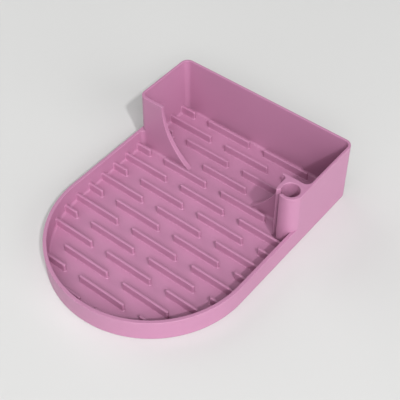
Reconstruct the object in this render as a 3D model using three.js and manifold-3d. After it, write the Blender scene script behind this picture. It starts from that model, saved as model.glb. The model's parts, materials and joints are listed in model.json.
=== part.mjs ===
// A countertop drying rack for a tumbler, its lid and its straw: a D-shaped drip tray with
// staggered ribs, a tall caddy across the back and a slit straw tube in the caddy's front corner.
// The real rack is one plastic moulding. Here its six regions are separate solids that meet
// face to face, so that the tray, the caddy and the straw tube stay open spaces.
// Millimetres, X across the tray, +Y towards the caddy, +Z up, origin under the middle.

import * as THREE from 'three';
import { mergeVertices } from 'three/addons/utils/BufferGeometryUtils.js';
import Module from 'manifold-3d';

// Tray
const trayWidth = 150;
const trayLength = 203.5; // from the tip of the round end to the back face
const floorThickness = 2.1;
const wall = 2.65;
const rimHeight = 17.3;

// Caddy
const caddyHeight = 49.9;
const caddyDepth = 55.5; // outside, from the wings' front faces to the back face
const cornerRadius = 6.3; // outside, on the upright corners
const mouthTop = 105.6; // gap between the two wings at their full height
const mouthFoot = 56.4; // gap between the two wings where they run out on the floor

// Straw tube
const strawBore = 12.8;
const strawAxisSetback = 8.4; // from the wings' front faces forward to the tube's axis
const tubeFlare = 2.8; // radius of the fillet between the tube's left side and the wing
const slotWidth = 3.8;
const slotHeading = THREE.MathUtils.degToRad(223); // towards the middle of the tray

// Ribs, laid like bricks: every other row is shifted by half a step
const ribHeight = 6.45;
const ribWidth = 2.2;
const ribLength = 39.4;
const ribGap = 13.5; // between the ends of two ribs in a row
const ribRowPitch = 13.28; // one row crosses the round end's centre, with a rib in its middle
const ribClearance = 0.3; // between a rib's end and the wall that it runs up to

// Facets along each arc: a Shape gives every arc twice this many
const arcSegments = 6;
const overshoot = 1; // how far a cutting solid reaches past what it cuts
const merged = 1e-4; // points of an outline closer than this are one point

// Places that follow from the sizes
const halfWidth = trayWidth / 2;
const innerHalfWidth = halfWidth - wall;
const backY = trayLength / 2;
const roundEndY = halfWidth - trayLength / 2; // centre of the round end
const wingFrontY = backY - caddyDepth;
const wingBackY = wingFrontY + wall;
const rootX = halfWidth - cornerRadius; // where a wing leaves its rounded corner
const innerRadius = cornerRadius - wall;
const tubeRadius = strawBore / 2 + wall;
const tubeX = halfWidth - tubeRadius; // the tube is flush with the tray's side
const tubeY = wingFrontY - strawAxisSetback;
const tubeFrontY = tubeY - tubeRadius;

const wasm = await Module();
wasm.setup();

function solidOf(geometry) {
  geometry.deleteAttribute('normal');
  geometry.deleteAttribute('uv');
  const closed = mergeVertices(geometry, merged);
  return new wasm.Manifold(new wasm.Mesh({
    numProp: 3,
    vertProperties: closed.attributes.position.array,
    triVerts: new Uint32Array(closed.index.array),
  }));
}

// A drawn shape as plain points, without the doubles where one arc ends and the next begins.
function pointsOf(shape, segments) {
  const apart = (spots) => spots.filter((spot, index) => spot.distanceTo(spots.at(index - 1)) > merged);
  const outline = new THREE.Shape(apart(shape.getPoints(segments)));
  outline.holes = shape.holes.map((hole) => new THREE.Path(apart(hole.getPoints(segments))));
  return outline;
}

function extruded(shape, depth, segments = arcSegments) {
  return new THREE.ExtrudeGeometry(pointsOf(shape, segments), { depth, bevelEnabled: false });
}

function prism(shape, bottom, top) {
  return solidOf(extruded(shape, top - bottom).translate(0, 0, bottom));
}

function block(low, high) {
  const size = high.clone().sub(low);
  const middle = low.clone().add(high).multiplyScalar(0.5);
  const box = new THREE.BoxGeometry(size.x, size.y, size.z);
  return solidOf(box.translate(middle.x, middle.y, middle.z));
}

const point = (x, y, z) => new THREE.Vector3(x, y, z);

// The tray's outline, moved inwards by inset: a half circle, straight sides and two back corners.
// The half circle is drawn as four arcs, so that it gets finer facets than the corners.
function trayOutline(inset) {
  const side = halfWidth - inset;
  const back = backY - inset;
  const corner = cornerRadius - inset;
  const eighth = Math.PI / 4;
  const outline = new THREE.Shape();
  outline.moveTo(-side, roundEndY);
  for (let arc = 0; arc < 4; arc += 1) {
    outline.absarc(0, roundEndY, side, Math.PI + arc * eighth, Math.PI + (arc + 1) * eighth, false);
  }
  outline.lineTo(side, back - corner);
  outline.absarc(side - corner, back - corner, corner, 0, Math.PI / 2, false);
  outline.lineTo(corner - side, back);
  outline.absarc(corner - side, back - corner, corner, Math.PI / 2, Math.PI, false);
  outline.closePath();
  return outline;
}

// The root of a wing, seen from above: it flares into the side wall on the caddy's side, and on
// the tray's side too where no tube stands. grow widens it all round, to keep the ribs clear.
function wingRoot(side, flaresForward, grow) {
  const root = new THREE.Shape();
  const radius = innerRadius - grow;
  const wallX = side * (innerHalfWidth - grow);
  const tipX = side * (rootX - grow);
  const frontY = wingFrontY - grow;
  const rearY = wingBackY + grow;
  const towardsWall = side > 0 ? 0 : Math.PI;
  const clockwise = side < 0;
  root.moveTo(side * halfWidth, rearY + radius);
  root.lineTo(side * halfWidth, frontY - (flaresForward ? radius : 0));
  root.lineTo(wallX, frontY - (flaresForward ? radius : 0));
  if (flaresForward) {
    root.absarc(wallX - side * radius, frontY - radius, radius, towardsWall, Math.PI / 2, clockwise);
  }
  root.lineTo(tipX, frontY);
  root.lineTo(tipX, rearY);
  root.lineTo(wallX - side * radius, rearY);
  root.absarc(wallX - side * radius, rearY + radius, radius, -Math.PI / 2, -towardsWall, clockwise);
  root.closePath();
  return root;
}

// The tube's outline: a half circle in front, straight sides back to the wing, and a fillet into
// the wing's face on the left. grow widens it, to keep the ribs clear.
function tubeOutline(grow) {
  const radius = tubeRadius + grow;
  const flareX = tubeX - tubeRadius - tubeFlare;
  const outline = new THREE.Shape();
  outline.moveTo(tubeX + radius, wingFrontY);
  outline.lineTo(flareX, wingFrontY);
  outline.absarc(flareX, wingFrontY - tubeFlare, tubeFlare - grow, Math.PI / 2, 0, true);
  outline.lineTo(tubeX - radius, tubeY);
  outline.absarc(tubeX, tubeY, radius, Math.PI, Math.PI * 1.5, false);
  outline.absarc(tubeX, tubeY, radius, -Math.PI / 2, 0, false);
  outline.closePath();
  return outline;
}

// Floor: the D-shaped plate with the ribs standing on it, each cut short at the walls. The row
// nearest to the wings keeps only the ribs in the mouth, because the wings stand in its way.
function ribbedFloor() {
  const ribTop = floorThickness + ribHeight;
  const ribStep = ribLength + ribGap;
  const room = prism(trayOutline(wall + ribClearance), 0, ribTop + overshoot);
  const firstRow = Math.ceil(-innerHalfWidth / ribRowPitch);
  const lastRow = Math.floor((backY - wall - roundEndY) / ribRowPitch);
  const wingRow = Math.round((wingFrontY + wall / 2 - roundEndY) / ribRowPitch);
  const stepsOut = Math.ceil(halfWidth / ribStep);
  let ribs = null;
  for (let row = firstRow; row <= lastRow; row += 1) {
    const y = roundEndY + row * ribRowPitch;
    const shift = row % 2 === 0 ? 0 : ribStep / 2;
    const reach = row === wingRow ? mouthFoot / 2 - ribClearance : halfWidth;
    for (let place = -stepsOut - 1; place <= stepsOut; place += 1) {
      const middle = place * ribStep + shift;
      const left = Math.max(middle - ribLength / 2, -reach);
      const right = Math.min(middle + ribLength / 2, reach);
      if (right - left > ribWidth) {
        const low = point(left, y - ribWidth / 2, floorThickness / 2);
        const high = point(right, y + ribWidth / 2, ribTop);
        const rib = block(low, high);
        ribs = ribs ? ribs.add(rib) : rib;
      }
    }
  }
  ribs = ribs.intersect(room);
  for (const side of [-1, 1]) {
    ribs = ribs.subtract(prism(wingRoot(side, side < 0, ribClearance), floorThickness, ribTop + overshoot));
  }
  ribs = ribs.subtract(prism(tubeOutline(ribClearance), floorThickness, ribTop + overshoot));
  return prism(trayOutline(0), 0, floorThickness).add(ribs);
}

// Rim: the low wall right round the tray, left open where the tube takes its place, with the
// roots of the two wings.
function rimWall() {
  const ring = trayOutline(0);
  ring.holes.push(trayOutline(wall));
  const tubePlace = block(
    point(innerHalfWidth - overshoot, tubeFrontY, 0),
    point(halfWidth + overshoot, wingFrontY, rimHeight + overshoot),
  );
  return prism(ring, floorThickness, rimHeight)
    .subtract(tubePlace)
    .add(prism(wingRoot(-1, true, 0), floorThickness, rimHeight))
    .add(prism(wingRoot(1, false, 0), floorThickness, rimHeight));
}

// Caddy wall: stands on the rim round the back, with rounded corners. Its right front corner
// stays square, because the straw tube carries on from it.
function caddyWall() {
  const ring = trayOutline(0);
  ring.holes.push(trayOutline(wall));
  const corner = new THREE.Shape();
  corner.moveTo(-halfWidth - overshoot, wingFrontY - overshoot);
  corner.lineTo(-halfWidth - overshoot, wingFrontY + cornerRadius);
  corner.lineTo(-halfWidth, wingFrontY + cornerRadius);
  corner.absarc(-rootX, wingFrontY + cornerRadius, cornerRadius, Math.PI, Math.PI * 1.5, false);
  corner.lineTo(-rootX, wingFrontY - overshoot);
  corner.closePath();
  const front = block(
    point(-halfWidth - overshoot, -trayLength, 0),
    point(halfWidth + overshoot, wingFrontY, caddyHeight + overshoot),
  );
  return prism(ring, rimHeight, caddyHeight)
    .subtract(front)
    .add(prism(wingRoot(-1, false, 0), rimHeight, caddyHeight))
    .add(prism(wingRoot(1, false, 0), rimHeight, caddyHeight))
    .subtract(prism(corner, rimHeight - overshoot, caddyHeight + overshoot));
}

// Wing: what is left of the caddy's front wall beside its mouth. Its edge is one arc that leaves
// the full height upright and runs out on the floor.
function wing(side) {
  const run = (mouthTop - mouthFoot) / 2;
  const drop = caddyHeight - floorThickness;
  const sweepRadius = (run * run + drop * drop) / (2 * run);
  const sweepAngle = Math.atan2(drop, sweepRadius - run);
  const centreX = side * (mouthTop / 2 - sweepRadius);
  const face = new THREE.Shape();
  face.moveTo(side * rootX, floorThickness);
  face.lineTo(side * rootX, caddyHeight);
  face.lineTo(side * mouthTop / 2, caddyHeight);
  if (side > 0) {
    face.absarc(centreX, caddyHeight, sweepRadius, 0, -sweepAngle, true);
  } else {
    face.absarc(centreX, caddyHeight, sweepRadius, Math.PI, Math.PI + sweepAngle, false);
  }
  face.closePath();
  const plate = extruded(face, wall, 2 * arcSegments);
  return solidOf(plate.rotateX(Math.PI / 2).translate(0, wingBackY, 0));
}

// Straw tube: full height, slit along the side that faces the tray, with the stretch of rim
// that it stands on.
function strawTube() {
  const rim = block(
    point(innerHalfWidth, tubeFrontY, floorThickness),
    point(halfWidth, wingFrontY, rimHeight),
  );
  const bore = new THREE.Shape();
  for (let quarter = 0; quarter < 4; quarter += 1) {
    const from = quarter * Math.PI / 2;
    bore.absarc(tubeX, tubeY, strawBore / 2, from, from + Math.PI / 2, false);
  }
  const slot = new THREE.BoxGeometry(tubeRadius + overshoot, slotWidth, caddyHeight)
    .translate((tubeRadius + overshoot) / 2, 0, floorThickness + caddyHeight / 2)
    .rotateZ(slotHeading)
    .translate(tubeX, tubeY, 0);
  return prism(tubeOutline(0), floorThickness, caddyHeight)
    .add(rim)
    .subtract(prism(bore, floorThickness - overshoot, caddyHeight + overshoot))
    .subtract(solidOf(slot));
}

const plastic = new THREE.MeshStandardMaterial({ color: '#b57e9e', roughness: 0.45, metalness: 0 });

function pieceOf(name, solid) {
  const mesh = solid.getMesh();
  const geometry = new THREE.BufferGeometry();
  geometry.setAttribute('position', new THREE.BufferAttribute(mesh.vertProperties, 3));
  geometry.setIndex(new THREE.BufferAttribute(mesh.triVerts, 1));
  geometry.computeVertexNormals();
  const piece = new THREE.Mesh(geometry, plastic);
  piece.name = name;
  return piece;
}

const rack = new THREE.Group();
rack.add(pieceOf('ribbed_floor', ribbedFloor()));
rack.add(pieceOf('rim_wall', rimWall()));
rack.add(pieceOf('caddy_wall', caddyWall()));
rack.add(pieceOf('left_wing', wing(-1)));
rack.add(pieceOf('right_wing', wing(1)));
rack.add(pieceOf('straw_tube', strawTube()));

export default rack;
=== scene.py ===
import json
import math

import bmesh
import bpy
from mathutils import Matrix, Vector


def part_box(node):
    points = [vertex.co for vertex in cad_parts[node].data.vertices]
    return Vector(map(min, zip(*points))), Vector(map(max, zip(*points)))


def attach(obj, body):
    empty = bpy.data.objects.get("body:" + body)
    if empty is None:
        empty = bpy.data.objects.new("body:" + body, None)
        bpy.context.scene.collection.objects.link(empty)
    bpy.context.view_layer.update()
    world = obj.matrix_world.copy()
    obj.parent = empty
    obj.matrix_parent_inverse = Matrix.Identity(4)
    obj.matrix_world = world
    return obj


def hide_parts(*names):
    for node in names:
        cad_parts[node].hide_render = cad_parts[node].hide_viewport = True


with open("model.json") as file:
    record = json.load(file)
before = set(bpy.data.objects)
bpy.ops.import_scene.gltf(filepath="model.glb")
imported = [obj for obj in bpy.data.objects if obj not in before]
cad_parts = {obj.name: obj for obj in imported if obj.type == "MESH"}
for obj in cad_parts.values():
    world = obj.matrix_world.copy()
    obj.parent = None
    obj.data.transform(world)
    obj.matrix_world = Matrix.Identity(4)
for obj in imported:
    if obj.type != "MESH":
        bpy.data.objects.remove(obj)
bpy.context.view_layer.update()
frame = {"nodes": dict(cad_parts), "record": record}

# Camera
# A long lens over the round end, from the front right and well above, so that the tray's sides
# run nearly parallel and the caddy stands at the back.
MM = 0.001
VIEW_AZIMUTH = math.radians(38.54)
VIEW_ELEVATION = math.radians(47.46)
VIEW_DISTANCE = 694.3 * MM
VIEW_AIM = Vector((-3.95, 29.04, 0)) * MM
SENSOR_WIDTH = 36  # Blender takes sensors and lenses in millimetres
LENS = 86.09
view_back = Vector((
    math.sin(VIEW_AZIMUTH) * math.cos(VIEW_ELEVATION),
    -math.cos(VIEW_AZIMUTH) * math.cos(VIEW_ELEVATION),
    math.sin(VIEW_ELEVATION),
))
camera = bpy.data.objects.new("camera", bpy.data.cameras.new("camera"))
camera.data.sensor_width = SENSOR_WIDTH
camera.data.lens = LENS
camera.location = VIEW_AIM + view_back * VIEW_DISTANCE
camera.rotation_euler = view_back.to_track_quat("Z", "Y").to_euler()
bpy.context.scene.collection.objects.link(camera)
bpy.context.scene.camera = camera

# Tray
# The floor and the low rim round it, moulded in one shot with all the rest of the rack.
# Edges that a hand meets are rounded off, and the rim runs down into the floor in a fillet.
floor_low, floor_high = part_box("ribbed_floor")
rim_low, rim_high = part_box("rim_wall")
wing_low, wing_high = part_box("right_wing")
half_width = floor_high.x
back_y = floor_high.y
round_end = Vector((0, floor_low.y + half_width))
floor_top = rim_low.z
rim_top = rim_high.z
wall = wing_high.y - wing_low.y
corner_radius = half_width - wing_high.x
corner_x = wing_high.x
back_corner_y = back_y - corner_radius
EDGE_RADIUS = 0.4 * MM
FOOT_RADIUS = 2.0 * MM
UNDER_RADIUS = 0.8 * MM
SUNK = 1.0 * MM  # height, inside the floor, at which a standing region starts
TUCK = 0.01 * MM  # how far one region lies inside another where their faces run flush
ROUND_END_STEPS = 128
CORNER_STEPS = 14
EDGE_STEPS = 5
# Headings in a plane, as angles, up to a full turn.
RIGHT, UP, LEFT, DOWN, ROUND = (quarter * math.pi / 2 for quarter in range(5))


def arc(centre, radius, start, end, steps):
    """Points along an arc, each with the direction that leads out of the plastic there."""
    turn = 1 if end > start else -1
    rays = []
    for step in range(steps + 1):
        angle = start + (end - start) * step / steps
        rays.append(Vector((math.cos(angle), math.sin(angle))))
    return [(centre + ray * radius, ray * turn) for ray in rays]


def edge(inset, height, radius, start, end):
    """A quarter round in a wall's section, as pairs of inset and height."""
    return [tuple(spot) for spot, _ in arc(Vector((inset, height)), radius, start, end, EDGE_STEPS)]


def level(outline, inset, height):
    """An outline moved into the plastic by inset, at one height."""
    return [(*(spot - out * inset), height) for spot, out in outline]


def tucked(outline):
    """The same outline for a wall that is a little thinner on both faces."""
    return [(spot - out * TUCK, out * (1 - 2 * TUCK / wall)) for spot, out in outline]


def lofted(name, loops):
    """A closed solid through loops with equal counts of points, capped at both ends."""
    shape = bmesh.new()
    rows = [[shape.verts.new(spot) for spot in loop] for loop in loops]
    for row, following in zip(rows, rows[1:]):
        for here in range(len(row)):
            there = (here + 1) % len(row)
            shape.faces.new((row[here], row[there], following[there], following[here]))
    shape.faces.new(rows[0])
    shape.faces.new(rows[-1])
    bmesh.ops.recalc_face_normals(shape, faces=shape.faces)
    mesh = bpy.data.meshes.new(name)
    shape.to_mesh(mesh)
    shape.free()
    solid = bpy.data.objects.new(name, mesh)
    bpy.context.scene.collection.objects.link(solid)
    return solid


back_right = arc(Vector((corner_x, back_corner_y)), corner_radius, RIGHT, UP, CORNER_STEPS)
back_left = arc(Vector((-corner_x, back_corner_y)), corner_radius, UP, LEFT, CORNER_STEPS)
tray_outline = arc(round_end, half_width, LEFT, ROUND, ROUND_END_STEPS)
tray_outline += tucked(back_right) + tucked(back_left)
tray_section = edge(UNDER_RADIUS, UNDER_RADIUS, UNDER_RADIUS, DOWN, LEFT)
tray_section += edge(EDGE_RADIUS, rim_top - EDGE_RADIUS, EDGE_RADIUS, LEFT, UP)
tray_section += edge(wall - EDGE_RADIUS, rim_top - EDGE_RADIUS, EDGE_RADIUS, UP, RIGHT)
tray_section += edge(wall + FOOT_RADIUS, floor_top + FOOT_RADIUS, FOOT_RADIUS, LEFT, DOWN)
rack = lofted("drying_rack", [level(tray_outline, inset, height) for inset, height in tray_section])

# Caddy
# The tall wall round the back, flush with the rim outside, which turns in at both front corners
# and carries on as the wings. It grows thinner upwards, and has the tray's fillet along the floor.
caddy_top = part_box("caddy_wall")[1].z
wing_front = wing_low.y
wing_back = wing_high.y
front_corner_y = wing_front + corner_radius
ROOT_OVERLAP = 1.0 * MM
DRAFT = 0.8 * MM  # how far each face of the front wall stands out at the floor, to leave the mould
TAPER = 0.8 * MM  # how far the inner face stands back at the top, on all walls but the left wing


def draft(height):
    """How far a face of the caddy's front wall stands out at a height."""
    return DRAFT * (caddy_top - height) / (caddy_top - floor_top)


def taper(height, start):
    """How far the caddy's inner face stands back at a height, if it leans from start upwards."""
    return TAPER * max(0, height - start) / (caddy_top - start)


front_left = arc(Vector((-corner_x, front_corner_y)), corner_radius, LEFT, DOWN, CORNER_STEPS)
front_right = arc(Vector((corner_x, front_corner_y)), corner_radius, DOWN, ROUND, CORNER_STEPS)
forward = Vector((0, -1))
right_root = [(Vector((corner_x - ROOT_OVERLAP, wing_front)), forward)]
left_root = [(Vector((ROOT_OVERLAP - corner_x, wing_front)), forward)]
caddy_path = tucked(right_root) + front_right + back_right + back_left + front_left + tucked(left_root)
caddy_section = [(0, SUNK)]
caddy_section += edge(EDGE_RADIUS, caddy_top - EDGE_RADIUS, EDGE_RADIUS, LEFT, UP)
caddy_section += edge(wall - EDGE_RADIUS, caddy_top - EDGE_RADIUS, EDGE_RADIUS, UP, RIGHT)
caddy_section += [(wall, rim_top)]
caddy_section += edge(wall + FOOT_RADIUS, floor_top + FOOT_RADIUS - TUCK, FOOT_RADIUS, LEFT, DOWN)
caddy_section += [(wall + FOOT_RADIUS, SUNK)]
caddy_loops = []
for spot, out in caddy_path:
    # The inner face leans from the rim's height upwards, or from the floor in front.
    frontness = max(0, -out.y)
    tapered = 1 - frontness if spot.x < 0 else 1
    taper_start = floor_top + (rim_top - floor_top) * (1 - frontness)
    caddy_loop = []
    for inset, height in caddy_section:
        inside = inset > wall / 2
        lean = draft(height) * frontness * (1 if inside else -1)
        inset -= inside * tapered * taper(height, taper_start)
        caddy_loop.append((spot.x - out.x * inset, spot.y - out.y * inset + lean, height))
    caddy_loops.append(caddy_loop)
regions = [lofted("caddy", caddy_loops)]

# Wings
# What is left of the caddy's front wall beside its mouth: plates whose edge sweeps down from full
# height and runs out on the floor. Their faces lean, and both have a fillet along the floor.
wing_corners = [corner.co for corner in frame["nodes"]["right_wing"].data.vertices]
mouth_half = min(corner.x for corner in wing_corners if corner.z > caddy_top - TUCK)
sweep_run = mouth_half - wing_low.x
sweep_drop = caddy_top - floor_top
sweep_radius = (sweep_run ** 2 + sweep_drop ** 2) / (2 * sweep_run)
sweep_centre = Vector((mouth_half - sweep_radius, caddy_top))
RUN_OUT_RADIUS = 2.0 * MM
RUN_OUT_SINK = 0.02 * MM  # the run-out dips this far into the floor
FOOT_ROOT = -wall / 3  # where a fillet's solid starts, inside the wing
SWEEP_STEPS = 48
RUN_OUT_STEPS = 8
run_out_height = floor_top + RUN_OUT_RADIUS - RUN_OUT_SINK
run_out_fall = caddy_top - run_out_height
run_out_reach = math.sqrt((sweep_radius - RUN_OUT_RADIUS) ** 2 - run_out_fall ** 2)
run_out_centre = Vector((sweep_centre.x + run_out_reach, run_out_height))
run_out_angle = -math.atan2(run_out_fall, run_out_reach)
top_centre = Vector((mouth_half + EDGE_RADIUS, caddy_top - EDGE_RADIUS))
top_corner = arc(top_centre, EDGE_RADIUS, UP, LEFT, EDGE_STEPS)
sweep_start = -math.asin(EDGE_RADIUS / sweep_radius)
sweep = arc(sweep_centre, sweep_radius, sweep_start, run_out_angle, SWEEP_STEPS)
run_out = arc(run_out_centre, RUN_OUT_RADIUS, run_out_angle, -UP, RUN_OUT_STEPS)[1:]
hidden = Vector((0, 0))  # the way out at a point that lies inside another region
upwards = Vector((0, 1))
root_end = corner_x + ROOT_OVERLAP
tip_end = run_out_centre.x - ROOT_OVERLAP
wing_outline = [(Vector((root_end, SUNK)), hidden), (Vector((root_end, caddy_top)), upwards)]
wing_outline += top_corner + sweep + run_out
wing_outline += [(Vector((tip_end, floor_top - RUN_OUT_SINK)), upwards), (Vector((tip_end, SUNK)), hidden)]
wing_section = edge(EDGE_RADIUS, wing_front + EDGE_RADIUS, EDGE_RADIUS, DOWN, LEFT)
wing_section += edge(EDGE_RADIUS, wing_back - EDGE_RADIUS, EDGE_RADIUS, LEFT, UP)
for side in (-1, 1):
    wing_loops = []
    for inset, depth in wing_section:
        behind = depth > (wing_front + wing_back) / 2
        outwards = 1 if behind else -1
        thinned = behind and side > 0
        wing_loop = []
        for along, up, across in level(wing_outline, inset, depth):
            across += outwards * draft(up) - thinned * taper(up, floor_top)
            wing_loop.append((side * along, across, up))
        wing_loops.append(wing_loop)
    regions.append(lofted("wing", wing_loops))
    for face_y, outwards in ((wing_front, -1), (wing_back, 1)):
        foot_loops = []
        for spot, _ in reversed(sweep + run_out):
            foot_radius = min(FOOT_RADIUS, (spot.y - floor_top) / 2)
            if foot_radius < RUN_OUT_SINK:
                continue
            foot_top = floor_top + foot_radius - TUCK
            foot_section = [(FOOT_ROOT, SUNK), (foot_radius, SUNK)]
            foot_section += edge(foot_radius, foot_top, foot_radius, DOWN, LEFT)
            foot_section += [(FOOT_ROOT, foot_top)]
            foot_loop = []
            for far, up in foot_section:
                foot_loop.append((side * spot.x, face_y + outwards * (far + draft(up)), up))
            foot_loops.append(foot_loop)
        foot_loops.append([(side * corner_x, across, up) for _, across, up in foot_loops[-1]])
        regions.append(lofted("wing_foot", foot_loops))

# Left root
# Where the left wing leaves the rim, the inside corner on the tray's side is filled in a curve,
# up to the rim's height. It leans with the wing and has the same fillet along the floor.
root_radius = corner_radius - wall
root_centre = Vector((-corner_x, wing_front - root_radius))
root_curve = arc(root_centre, root_radius, LEFT, UP, CORNER_STEPS)
root_outline = root_curve + [
    (Vector((-corner_x, wing_front + wall / 2)), hidden),
    (Vector((-half_width + wall / 2, wing_front + wall / 2)), hidden),
    (Vector((-half_width + wall / 2, wing_front - root_radius)), hidden),
]
root_section = [(-FOOT_RADIUS, SUNK)]
root_section += edge(-FOOT_RADIUS, floor_top + FOOT_RADIUS - TUCK, FOOT_RADIUS, DOWN, ROUND)
root_section += edge(EDGE_RADIUS, rim_top - TUCK - EDGE_RADIUS, EDGE_RADIUS, LEFT, UP)
root_loops = []
for inset, height in root_section:
    leaning = [(spot + Vector((0, draft(height) * min(0, out.y))), out) for spot, out in root_outline]
    root_loops.append(level(leaning, inset, height))
regions.append(lofted("left_root", root_loops))

# Straw tube
# A tube in the corner of the right wing and the rim, flush with the rack's side, with a small
# fillet into the wing. It is open at the top and slit towards the tray, between rounded lips.
openings = {opening["name"]: opening["box_m"] for opening in frame["record"]["physics"]["openings"]}
straw_low, straw_high = (Vector(corner) for corner in openings["straw_bore"])
tube_axis = ((straw_low + straw_high) / 2).to_2d()
tube_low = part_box("straw_tube")[0]
tube_radius = tube_axis.y - tube_low.y
bore_radius = tube_radius - wall
flare_radius = tube_axis.x - tube_radius - tube_low.x
BORE_EDGE = 0.6 * MM
LIP_RADIUS = 0.7 * MM
LIP_EDGE = 0.5 * MM
SIDE_BOW = 20 * MM  # radius of the tube's left side, which is nearly straight up to the slot
SLOT_HALF = 2.1 * MM
SLOT_HEADING = math.radians(229)
TUBE_STEPS = 64
OVER = 1.0 * MM  # how far a cut runs past the top
flush_x = half_width - TUCK
tube_top = caddy_top - TUCK
sidewards = Vector((1, 0))
flare = arc(Vector((tube_low.x, wing_front - flare_radius)), flare_radius, UP, RIGHT, CORNER_STEPS)
bow_middle = tube_axis + Vector((SIDE_BOW - tube_radius, 0))
tube_side = arc(bow_middle, SIDE_BOW, LEFT, LEFT + math.asin(tube_radius / SIDE_BOW), CORNER_STEPS)
tube_front = arc(tube_axis, tube_radius, SLOT_HEADING, ROUND, TUBE_STEPS)[:-1]
corner_middle = arc(Vector((corner_x, front_corner_y)), corner_radius - wall / 2, RIGHT, -UP, CORNER_STEPS)
tube_outline = flare + tube_side + tube_front
tube_outline += [
    (Vector((flush_x, tube_axis.y)), sidewards),
    (Vector((flush_x, front_corner_y + OVER)), sidewards),
    (Vector((half_width - wall / 2, front_corner_y + OVER)), hidden),
]
tube_outline += [(spot, hidden) for spot, _ in corner_middle]
tube_outline += [(Vector((tube_low.x + EDGE_RADIUS, wing_front + wall / 2)), hidden)]
# The fillet along the floor fades out where the tube runs into the rim.
tube_foot = []
for spot, out in tube_outline:
    from_rim = (half_width - wall / 2 - spot.x) / (wall / 2)
    tube_foot.append((spot, out * min(1, max(0, from_rim))))
tube_loops = [level(tube_foot, -FOOT_RADIUS, SUNK)]
for inset, height in edge(-FOOT_RADIUS, floor_top + FOOT_RADIUS - TUCK, FOOT_RADIUS, DOWN, ROUND):
    tube_loops.append(level(tube_foot, inset, height))
for inset, height in edge(EDGE_RADIUS, tube_top - EDGE_RADIUS, EDGE_RADIUS, LEFT, UP):
    tube_loops.append(level(tube_outline, inset, height))
tube = lofted("tube", tube_loops)

bore_outline = arc(tube_axis, bore_radius, RIGHT, ROUND, TUBE_STEPS)[:-1]
bore_section = [(0, floor_top - TUCK), *edge(-BORE_EDGE, caddy_top - BORE_EDGE, BORE_EDGE, RIGHT, UP)]
bore_section += [(-BORE_EDGE, caddy_top + OVER)]
bore = lofted("bore", [level(bore_outline, inset, height) for inset, height in bore_section])

heading = Vector((math.cos(SLOT_HEADING), math.sin(SLOT_HEADING)))
leftwards = Vector((-heading.y, heading.x))
lip_across = SLOT_HALF + LIP_RADIUS
inner_lip = Vector((math.sqrt((bore_radius + LIP_RADIUS) ** 2 - lip_across ** 2), lip_across))
inner_turn = math.atan2(-inner_lip.y, -inner_lip.x)
slot_end = Vector((tube_radius + 3 * FOOT_RADIUS, 2 * lip_across))  # clear of the tube's fillet
slot_outline = []
for side, face_centre, face_radius in ((-1, bow_middle, SIDE_BOW), (1, tube_axis, tube_radius)):
    offset = face_centre - tube_axis
    face = Vector((offset.dot(heading), side * offset.dot(leftwards)))
    lip_along = math.sqrt((face_radius - LIP_RADIUS) ** 2 - (lip_across - face.y) ** 2)
    outer_lip = Vector((face.x + lip_along, lip_across))
    outer_turn = math.atan2(lip_across - face.y, lip_along)
    slot_side = [(Vector((bore_radius / 2, SLOT_HALF)), hidden)]
    slot_side += arc(inner_lip, LIP_RADIUS, inner_turn, -UP, EDGE_STEPS)
    slot_side += arc(outer_lip, LIP_RADIUS, -UP, outer_turn, EDGE_STEPS)
    slot_side += [(slot_end, hidden)]
    for spot, out in slot_side if side < 0 else slot_side[::-1]:
        turned_spot = tube_axis + heading * spot.x + leftwards * side * spot.y
        slot_outline.append((turned_spot, -heading * out.x - leftwards * side * out.y))
slot_section = [(0, floor_top - TUCK), *edge(-LIP_EDGE, caddy_top - LIP_EDGE, LIP_EDGE, RIGHT, UP)]
slot_section += [(-LIP_EDGE, caddy_top + OVER)]
slot = lofted("slot", [level(slot_outline, inset, height) for inset, height in slot_section])


def settled(piece):
    """Turns a piece's modifiers into plain mesh."""
    depsgraph = bpy.context.evaluated_depsgraph_get()
    mesh = bpy.data.meshes.new_from_object(piece.evaluated_get(depsgraph))
    piece.modifiers.clear()
    piece.data = mesh


def joined(piece, operation, solids):
    """Adds solids to a piece or cuts them out of it, and leaves one plain mesh."""
    for solid in solids:
        join = piece.modifiers.new(solid.name, "BOOLEAN")
        join.operation = operation
        join.solver = "MANIFOLD"
        join.object = solid
    settled(piece)
    for solid in solids:
        bpy.data.objects.remove(solid)


joined(tube, "DIFFERENCE", [slot])
regions.append(tube)

# Plastic
# Satin mauve polypropylene, moulded against a fine spark-eroded tool: an even colour with a soft
# broad gloss, a grain that only just breaks the highlights and faint flow marks.
MAUVE = "#b57e9e"
MAUVE_DEEP = "#b17999"
GRAIN_SIZE = 0.6 * MM  # coarser than the tool's real grain, so that it shows at all
GRAIN_DETAIL = 2.0
GRAIN_DEPTH = 0.05 * MM
GRAIN_STRENGTH = 0.08
FLOW_SIZE = 45 * MM
FLOW_DETAIL = 3.0
SMOOTHEST, ROUGHEST = 0.40, 0.48
POLYPROPYLENE_IOR = 1.49


def linear(hex_colour):
    """A colour written as sRGB hex, as the linear numbers that nodes take."""
    channels = [int(hex_colour[start:start + 2], 16) / 255 for start in (1, 3, 5)]
    return [c / 12.92 if c <= 0.04045 else ((c + 0.055) / 1.055) ** 2.4 for c in channels] + [1]


def add(tree, kind, inputs=None, **settings):
    """One node with its settings. A socket among the inputs is linked, anything else is its value."""
    made = tree.nodes.new(kind)
    for name, value in settings.items():
        setattr(made, name, value)
    for name, value in (inputs or {}).items():
        if isinstance(value, bpy.types.NodeSocket):
            tree.links.new(value, made.inputs[name])
        else:
            made.inputs[name].default_value = value
    return made


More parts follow.
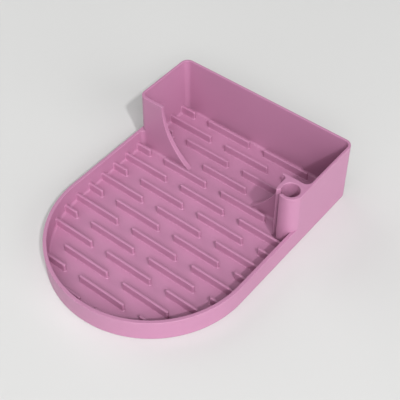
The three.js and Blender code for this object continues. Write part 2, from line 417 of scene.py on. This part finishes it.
plastic = bpy.data.materials.new("satin_mauve_polypropylene")
plastic.use_nodes = True
tree = plastic.node_tree
tree.nodes.clear()
place = add(tree, "ShaderNodeTexCoord").outputs["Object"]
flow = add(tree, "ShaderNodeTexNoise", {"Vector": place, "Scale": 1 / FLOW_SIZE, "Detail": FLOW_DETAIL})
grain = add(tree, "ShaderNodeTexNoise", {"Vector": place, "Scale": 1 / GRAIN_SIZE, "Detail": GRAIN_DETAIL})
tint = add(tree, "ShaderNodeMix", {"Factor": flow.outputs["Fac"]}, data_type="RGBA")
tint.inputs["A"].default_value = linear(MAUVE)
tint.inputs["B"].default_value = linear(MAUVE_DEEP)
gloss = add(tree, "ShaderNodeMapRange", {
    "Value": flow.outputs["Fac"],
    "To Min": SMOOTHEST,
    "To Max": ROUGHEST,
})
relief = add(tree, "ShaderNodeBump", {
    "Height": grain.outputs["Fac"],
    "Strength": GRAIN_STRENGTH,
    "Distance": GRAIN_DEPTH,
})
shader = add(tree, "ShaderNodeBsdfPrincipled", {
    "Base Color": tint.outputs["Result"],
    "Roughness": gloss.outputs["Result"],
    "Normal": relief.outputs["Normal"],
    "IOR": POLYPROPYLENE_IOR,
})
add(tree, "ShaderNodeOutputMaterial", {"Surface": shader.outputs["BSDF"]})

# Ribs
# Bars in rows across the floor, staggered like bricks, so that a cup stands clear of the water and
# air gets under it. They are moulded with the floor, and spread a little where they meet a wall.
rib_top = floor_high.z
RIB_WIDTH = 2.2 * MM
RIB_LENGTH = 39.4 * MM
RIB_GAP = 13.5 * MM
ROW_PITCH = 13.28 * MM
RIB_CORNER = 0.9 * MM
RIB_EDGE = 0.8 * MM
RIB_FOOT = 0.8 * MM
RIB_SPREAD = 1.0 * MM  # radius of the upright fillet between a rib's side and a wall
RIB_CORNER_STEPS = 3
RIB_SPREAD_STEPS = 6
STUB_SPREADS = 3  # length of each half of the pattern rib, in fillets, before it is drawn out
SLANT_FADE = 4.0  # how fast the fillets fade where the wall runs aslant
WALL_OVERLAP = 0.8 * MM
rib_height = rib_top - floor_top
rib_half = RIB_WIDTH / 2
stub = RIB_CORNER + STUB_SPREADS * RIB_SPREAD
rib_outline = []
for turn, (side_x, side_y) in enumerate(((1, 1), (-1, 1), (-1, -1), (1, -1))):
    corner = Vector((side_x * (stub - RIB_CORNER), side_y * (rib_half - RIB_CORNER)))
    start = turn * math.pi / 2
    rib_end = arc(corner, RIB_CORNER, start, start + math.pi / 2, RIB_CORNER_STEPS)
    rib_side = []
    for step in range(1, RIB_SPREAD_STEPS + 1):
        away = (stub - RIB_CORNER) * (1 - step / (RIB_SPREAD_STEPS + 1))
        rib_side.append((Vector((side_x * away, side_y * rib_half)), Vector((0, side_y))))
    rib_outline += rib_end + rib_side if side_x == side_y else rib_side[::-1] + rib_end
rib_section = [(-RIB_FOOT, SUNK - floor_top)]
rib_section += edge(-RIB_FOOT, RIB_FOOT - TUCK, RIB_FOOT, DOWN, ROUND)
rib_section += edge(RIB_EDGE, rib_height - RIB_EDGE, RIB_EDGE, LEFT, UP)
ribs = lofted("ribs", [level(rib_outline, inset, height) for inset, height in rib_section])

first_row = math.ceil((floor_low.y + wall - round_end.y) / ROW_PITCH)
last_row = math.floor((back_y - wall - round_end.y) / ROW_PITCH)
wing_row = round((wing_front + wall / 2 - round_end.y) / ROW_PITCH)
row_places = 2 * math.ceil(half_width / (RIB_LENGTH + RIB_GAP)) + 1
rib_sizes = {
    "Rib length": RIB_LENGTH,
    "Step along the row": RIB_LENGTH + RIB_GAP,
    "Row pitch": ROW_PITCH,
    "First row": first_row,
    "Rows": last_row - first_row + 1,
    "Places in a row": row_places,
    "Round end": round_end.y,
    "Inner half width": half_width - wall,
    "Half a rib": rib_half,
    "Overlap with the wall": WALL_OVERLAP,
    "Least length": 2 * stub,
    "Wing row": wing_row,
    "Wing end": wing_low.x,
    "Spread": RIB_SPREAD,
    "Slant fade": SLANT_FADE,
    "Tube side": tube_axis.x - tube_radius,
    "Tube front": tube_low.y,
    "Wing front": wing_front,
    "Floor": floor_top,
    "Half the pattern rib": stub,
}
field = bpy.data.node_groups.new("rib_field", "GeometryNodeTree")
field.interface.new_socket("Geometry", in_out="INPUT", socket_type="NodeSocketGeometry")
sockets = {}
for name in rib_sizes:
    sockets[name] = field.interface.new_socket(name, in_out="INPUT", socket_type="NodeSocketFloat")
sockets["Plastic"] = field.interface.new_socket("Plastic", in_out="INPUT", socket_type="NodeSocketMaterial")
field.interface.new_socket("Geometry", in_out="OUTPUT", socket_type="NodeSocketGeometry")
given = add(field, "NodeGroupInput").outputs


def worked(operation, first, second=0.0, third=0.0):
    """The result of one sum on numbers or sockets, inside the rib field."""
    return add(field, "ShaderNodeMath", {0: first, 1: second, 2: third}, operation=operation).outputs[0]


def wall_beside(place):
    """How far out the wall's inner face is at a place along the tray, inside the rib field."""
    in_end = worked("MAXIMUM", worked("SUBTRACT", given["Round end"], place), 0.0)
    radius_squared = worked("POWER", given["Inner half width"], 2.0)
    return worked("SQRT", worked("SUBTRACT", radius_squared, worked("POWER", in_end, 2.0)))


index = add(field, "GeometryNodeInputIndex").outputs[0]
count = worked("MULTIPLY", given["Rows"], given["Places in a row"])
row = worked("ADD", worked("FLOOR", worked("DIVIDE", index, given["Places in a row"])), given["First row"])
along = worked("FLOORED_MODULO", index, given["Places in a row"])
half_places = worked("FLOOR", worked("DIVIDE", given["Places in a row"], 2.0))
stagger = worked("MULTIPLY", worked("FLOORED_MODULO", row, 2.0), 0.5)
steps_out = worked("ADD", worked("SUBTRACT", along, half_places), stagger)
middle = worked("MULTIPLY", steps_out, given["Step along the row"])
row_y = worked("MULTIPLY_ADD", row, given["Row pitch"], given["Round end"])
row_wall = wall_beside(worked("ADD", row_y, given["Half a rib"]))
reach = worked("ADD", row_wall, given["Overlap with the wall"])
half_length = worked("MULTIPLY", given["Rib length"], 0.5)
left_end = worked("MAXIMUM", worked("SUBTRACT", middle, half_length), worked("MULTIPLY", reach, -1.0))
right_end = worked("MINIMUM", worked("ADD", middle, half_length), reach)
too_short = worked("LESS_THAN", worked("SUBTRACT", right_end, left_end), given["Least length"])
beside_tube = worked("GREATER_THAN", right_end, given["Tube side"])
past_tube_front = worked("GREATER_THAN", row_y, given["Tube front"])
before_wing = worked("LESS_THAN", row_y, given["Wing front"])
in_tube = worked("MULTIPLY", beside_tube, worked("MULTIPLY", past_tube_front, before_wing))
past_mouth = worked("GREATER_THAN", worked("ABSOLUTE", middle), given["Wing end"])
in_wing = worked("MULTIPLY", past_mouth, worked("COMPARE", row, given["Wing row"], 0.5))
row_spot = add(field, "ShaderNodeCombineXYZ", {"Y": row_y, "Z": given["Floor"]}).outputs[0]
spots = add(field, "GeometryNodePoints", {"Count": count, "Position": row_spot}).outputs[0]
for name, value in (("left_end", left_end), ("right_end", right_end), ("row_y", row_y)):
    stored = {"Geometry": spots, "Name": name, "Value": value}
    spots = add(field, "GeometryNodeStoreNamedAttribute", stored).outputs[0]
left_out = worked("MAXIMUM", too_short, worked("MAXIMUM", in_tube, in_wing))
spots = add(field, "GeometryNodeDeleteGeometry", {"Geometry": spots, "Selection": left_out}).outputs[0]
placed = {"Points": spots, "Instance": given["Geometry"]}
bars = add(field, "GeometryNodeInstanceOnPoints", placed).outputs[0]
bars = add(field, "GeometryNodeRealizeInstances", {"Geometry": bars}).outputs[0]
kept = {}
for name in ("left_end", "right_end", "row_y"):
    kept[name] = add(field, "GeometryNodeInputNamedAttribute", {"Name": name}).outputs["Attribute"]
position = add(field, "GeometryNodeInputPosition").outputs[0]
here = add(field, "ShaderNodeSeparateXYZ", {"Vector": position}).outputs
on_right = worked("GREATER_THAN", here["X"], 0.0)
to_right = worked("SUBTRACT", kept["right_end"], given["Half the pattern rib"])
to_left = worked("ADD", kept["left_end"], given["Half the pattern rib"])
drawn = add(field, "ShaderNodeMix", {"Factor": on_right, "A": to_left, "B": to_right}).outputs["Result"]
shift = add(field, "ShaderNodeCombineXYZ", {"X": drawn}).outputs[0]
bars = add(field, "GeometryNodeSetPosition", {"Geometry": bars, "Offset": shift}).outputs[0]
# Within reach of a wall the flanks part in a fillet, less so where the wall runs aslant.
wall_here = wall_beside(here["Y"])
out_x = worked("ABSOLUTE", here["X"])
past_start = worked("ADD", worked("SUBTRACT", out_x, wall_here), given["Spread"])
into_fillet = worked("MINIMUM", worked("MAXIMUM", past_start, 0.0), given["Spread"])
spread_squared = worked("POWER", given["Spread"], 2.0)
fillet_left = worked("SQRT", worked("SUBTRACT", spread_squared, worked("POWER", into_fillet, 2.0)))
squareness = worked("POWER", worked("DIVIDE", wall_here, given["Inner half width"]), given["Slant fade"])
spread = worked("MULTIPLY", worked("SUBTRACT", given["Spread"], fillet_left), squareness)
flank = worked("SIGN", worked("SUBTRACT", here["Y"], kept["row_y"]))
parted = add(field, "ShaderNodeCombineXYZ", {"Y": worked("MULTIPLY", flank, spread)}).outputs[0]
bars = add(field, "GeometryNodeSetPosition", {"Geometry": bars, "Offset": parted}).outputs[0]
# What has gone past the wall's face is pressed together just inside it.
past_wall = worked("MAXIMUM", worked("SUBTRACT", out_x, wall_here), 0.0)
press_room = worked("ADD", past_wall, given["Overlap with the wall"])
pressed = worked("DIVIDE", worked("MULTIPLY", past_wall, given["Overlap with the wall"]), press_room)
press_x = worked("MULTIPLY", worked("SIGN", here["X"]), worked("SUBTRACT", pressed, past_wall))
press = add(field, "ShaderNodeCombineXYZ", {"X": press_x}).outputs[0]
bars = add(field, "GeometryNodeSetPosition", {"Geometry": bars, "Offset": press}).outputs[0]
bars = add(field, "GeometryNodeSetMaterial", {"Geometry": bars, "Material": given["Plastic"]}).outputs[0]
add(field, "NodeGroupOutput", {"Geometry": bars})
rib_field = ribs.modifiers.new("rib_field", "NODES")
rib_field.node_group = field
for name, value in rib_sizes.items():
    rib_field[sockets[name].identifier] = float(value)
rib_field[sockets["Plastic"].identifier] = plastic
settled(ribs)
regions.append(ribs)

# The rack in one piece
# All regions come out of the mould as one, with no seam between them, so they are joined into one
# closed mesh. The bore is cut last, because ribs and fillets reach into it.
SHARP_ANGLE = math.radians(40)
LARGE_FACES = 100  # the large faces set the shading at every edge, where 50 is neutral
joined(rack, "UNION", regions)
joined(rack, "DIFFERENCE", [bore])
rack.data.materials.clear()
rack.data.materials.append(plastic)
rack.data.polygons.foreach_set("material_index", [0] * len(rack.data.polygons))
rack.data.polygons.foreach_set("use_smooth", [True] * len(rack.data.polygons))
rack.data.set_sharp_from_angle(angle=SHARP_ANGLE)
even = rack.modifiers.new("even_shading", "WEIGHTED_NORMAL")
even.keep_sharp = True
even.weight = LARGE_FACES
settled(rack)
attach(rack, "root")
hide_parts("ribbed_floor", "rim_wall", "caddy_wall", "left_wing", "right_wing", "straw_tube")

# Counter and light
# A plain floor in pale matt paint, just under the rack. A small key light from the right gives the
# clear shadows, and broad fills keep them light.
COUNTER_GREY = "#d0d0cf"
COUNTER_ROUGHNESS = 0.7
COUNTER_HALF = 3.0
COUNTER_DROP = 0.2 * MM
counter_sides = ((-1, -1), (1, -1), (1, 1), (-1, 1))
counter_corners = [(x * COUNTER_HALF, y * COUNTER_HALF, -COUNTER_DROP) for x, y in counter_sides]
counter_mesh = bpy.data.meshes.new("counter")
counter_mesh.from_pydata(counter_corners, [], [(0, 1, 2, 3)])
counter = bpy.data.objects.new("counter", counter_mesh)
bpy.context.scene.collection.objects.link(counter)
paint = bpy.data.materials.new("pale_matt_paint")
paint.use_nodes = True
coat = paint.node_tree.nodes["Principled BSDF"].inputs
coat["Base Color"].default_value = linear(COUNTER_GREY)
coat["Roughness"].default_value = COUNTER_ROUGHNESS
counter_mesh.materials.append(paint)

LIGHT_DISTANCE = 6.0
SKY_STRENGTH = 0.01
# Each light's name, the way towards it, its size in metres and its power in watts.
LIGHTS = (
    ("key", (0.58, -0.33, 0.75), 0.25, 146),
    ("right_fill", (0.9, -0.1, 0.35), 4.4, 176),
    ("front_fill", (0.3, -0.85, 0.4), 4.4, 92),
    ("high_fill", (0.55, -0.62, 0.75), 2.6, 172),
    ("over_fill", (-0.35, -0.55, 0.9), 4.4, 50),
    ("top_fill", (0, 0, 1), 4.4, 40),
    ("left_fill", (-0.85, 0.1, 0.5), 4.4, 114),
)
for name, towards, size, energy in LIGHTS:
    lamp = bpy.data.objects.new(name, bpy.data.lights.new(name, "AREA"))
    lamp.data.size = size
    lamp.data.energy = energy
    lamp.location = Vector(towards).normalized() * LIGHT_DISTANCE
    lamp.rotation_euler = Vector(towards).to_track_quat("Z", "Y").to_euler()
    bpy.context.scene.collection.objects.link(lamp)
sky = bpy.data.worlds.new("even_sky")
sky.use_nodes = True
glow = sky.node_tree.nodes["Background"].inputs
glow["Color"].default_value = (1, 1, 1, 1)
glow["Strength"].default_value = SKY_STRENGTH
bpy.context.scene.world = sky
bpy.context.scene.view_settings.view_transform = "Standard"
